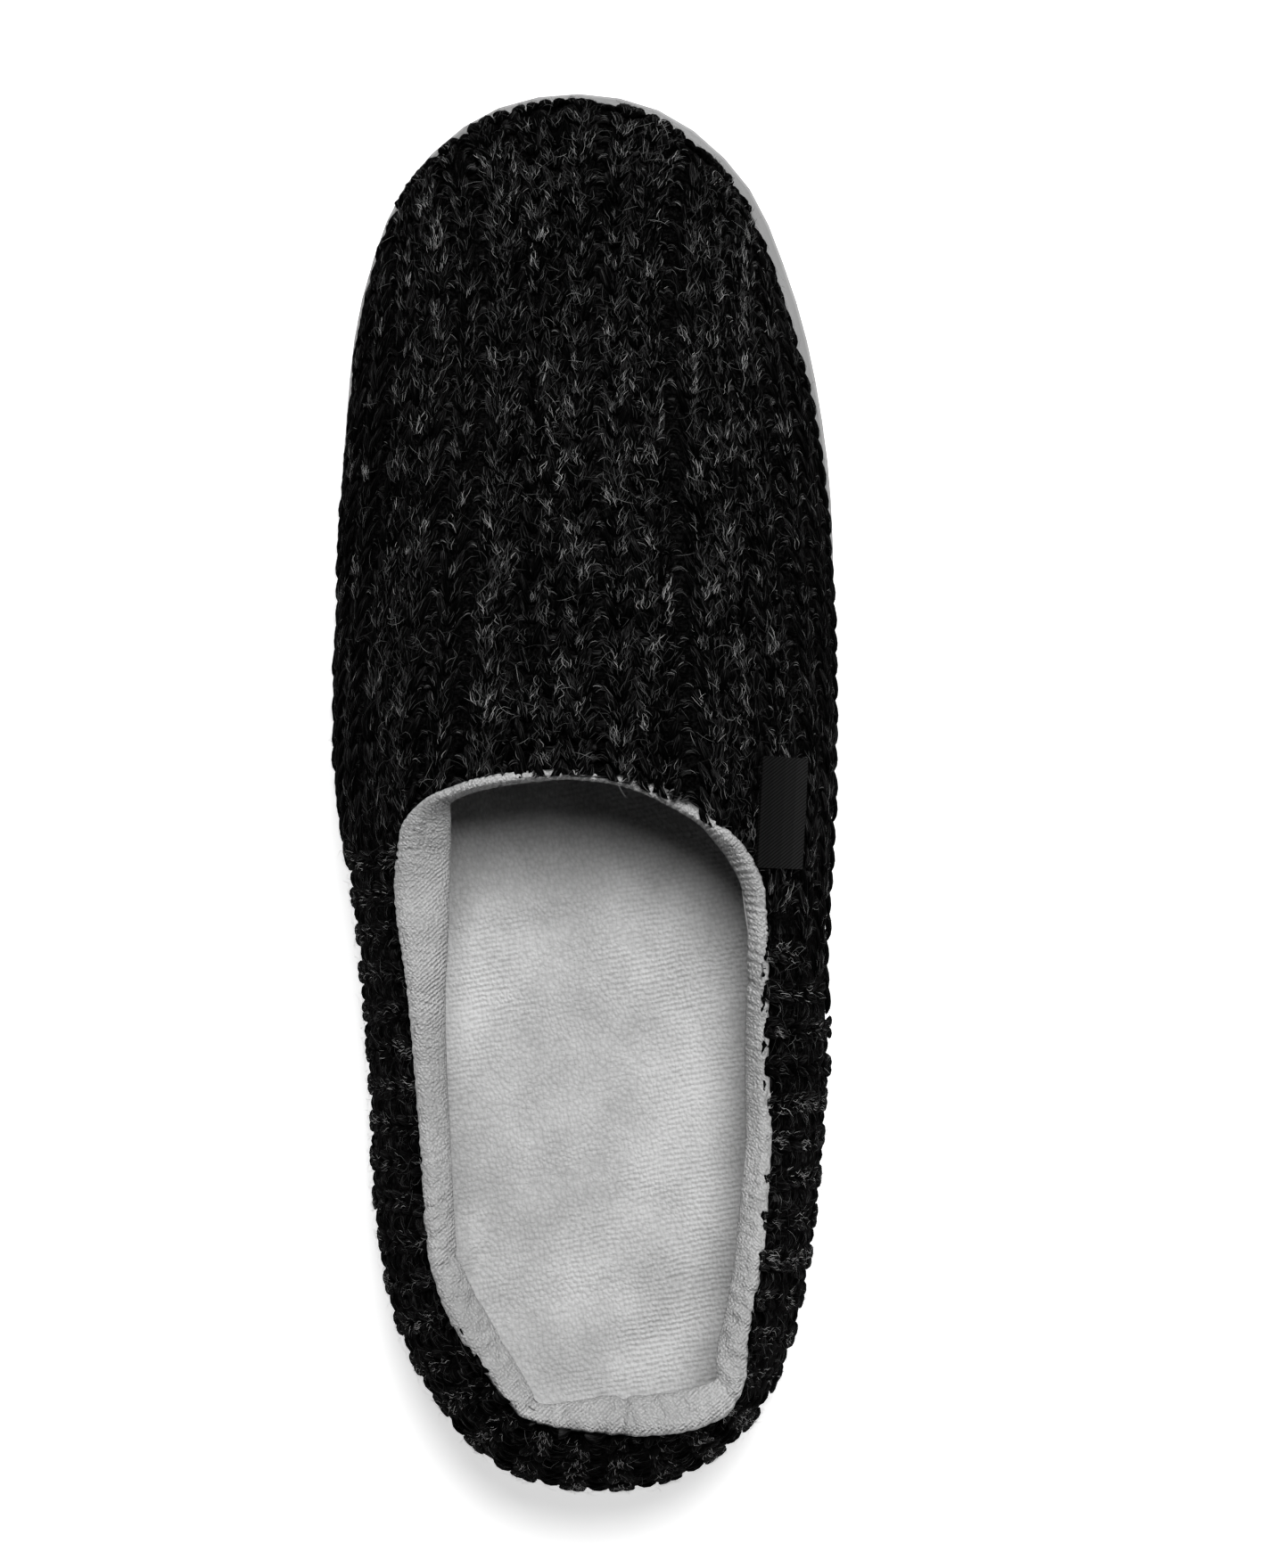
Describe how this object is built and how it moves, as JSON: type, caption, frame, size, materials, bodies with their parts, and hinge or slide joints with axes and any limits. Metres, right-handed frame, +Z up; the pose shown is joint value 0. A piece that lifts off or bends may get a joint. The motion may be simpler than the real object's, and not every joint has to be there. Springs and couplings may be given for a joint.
{
  "type": "knitted slipper",
  "caption": "Closed-back knitted house slipper for the right foot: hollow padded upper with a plush collar, plush footbed and a moulded sole",
  "frame": {"origin": "on the floor, under the middle of the slipper's box in plan", "axes": "+Z up, +Y towards the toe, +X towards the outer (lateral) side of the right foot"},
  "size_m": [0.1026, 0.2848, 0.0681],
  "materials": {
    "moulded_sole": "matte light grey moulded foam rubber",
    "plush_insole": "light grey short-pile plush with fine ribs",
    "melange_knit": "charcoal black chunky rib knit with lighter grey fuzz",
    "plush_collar": "light grey short-pile plush lining rolled over a padded edge",
    "woven_label": "black twill tape, bare"
  },
  "bodies": {
    "root": {"outsole": "moulded_sole", "insole": "plush_insole", "upper": "melange_knit", "collar_roll": "plush_collar", "label_tab": "woven_label"}
  },
  "joints": []
}
